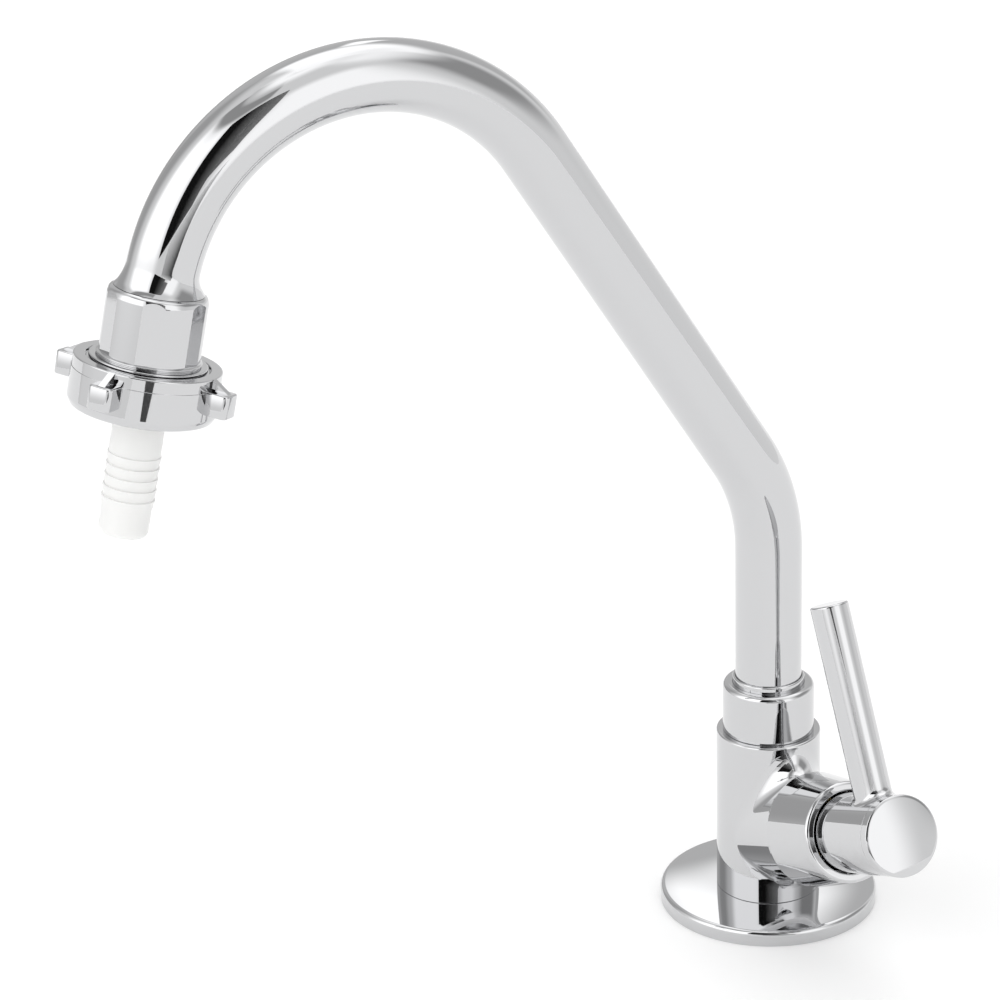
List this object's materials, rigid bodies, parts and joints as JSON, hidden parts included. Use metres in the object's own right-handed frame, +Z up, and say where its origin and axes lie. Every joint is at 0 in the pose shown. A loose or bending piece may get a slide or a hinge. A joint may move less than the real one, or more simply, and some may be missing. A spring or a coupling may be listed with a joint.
{
  "type": "utility sink faucet",
  "caption": "Utility sink faucet: swivelling gooseneck spout with a wing-nut hose tail, and a quarter-turn lever on a side branch of the upright body.",
  "frame": {"origin": "centre of the face that sits on the deck, on the axis of the upright body", "axes": "+Z up out of the deck, the spout reaches over -Y at rest, the handle axis points to +X and rises 21.8 degrees"},
  "size_m": [0.1073, 0.2358, 0.275],
  "materials": {
    "chromed_brass": "polished chrome plate",
    "brass": "machined",
    "rubber": "matt black",
    "white_nylon": "moulded, slightly translucent",
    "bush_plastic": "moulded",
    "ceramic": "lapped ceramic",
    "steel": "plain"
  },
  "bodies": {
    "base": {"base_flange": "chromed_brass", "flange_gasket": "rubber", "valve_body": "chromed_brass", "spout_collar": "chromed_brass", "spout_bush": "chromed_brass", "spout_slip_washer": "bush_plastic", "headwork_body": "brass", "headwork_o_ring": "rubber", "headwork_seal": "rubber", "fixed_disc": "ceramic", "handle_shroud": "chromed_brass"},
    "spout": {"spout_tube": "chromed_brass", "spout_foot": "brass", "spout_o_rings": "rubber", "outlet_adapter": "chromed_brass"},
    "handle": {"lever_handle": "chromed_brass", "handle_screw": "steel", "hub_cap": "chromed_brass", "spindle": "brass", "spindle_o_rings": "rubber", "spindle_circlip": "steel", "moving_disc": "ceramic"},
    "tail": {"hose_barb": "white_nylon", "barb_washer": "rubber"},
    "nut": {"wing_nut": "chromed_brass"}
  },
  "joints": [
    {"name": "spout_swivel", "type": "hinge", "parent": "base", "child": "spout", "pos_m": [0, 0, 0.06], "axis": [0, 0, 1], "continuous": true},
    {"name": "handle_turn", "type": "hinge", "parent": "base", "child": "handle", "pos_m": [0, 0, 0.02275], "axis": [0.9285, 0, 0.3714], "range_deg": [0, 90]},
    {"name": "tail_travel", "type": "slide", "parent": "spout", "child": "tail", "axis": [0, -0.2198, -0.9755], "range_m": [0, 0.00577]},
    {"name": "nut_turn", "type": "hinge", "parent": "tail", "child": "nut", "pos_m": [0, -0.18362, 0.19359], "axis": [0, -0.2198, -0.9755], "range_deg": [0, 900]}
  ],
  "couplings": [
    {"joint": "tail_travel", "follows": "nut_turn", "m_per_rad": 0.00036749}
  ]
}
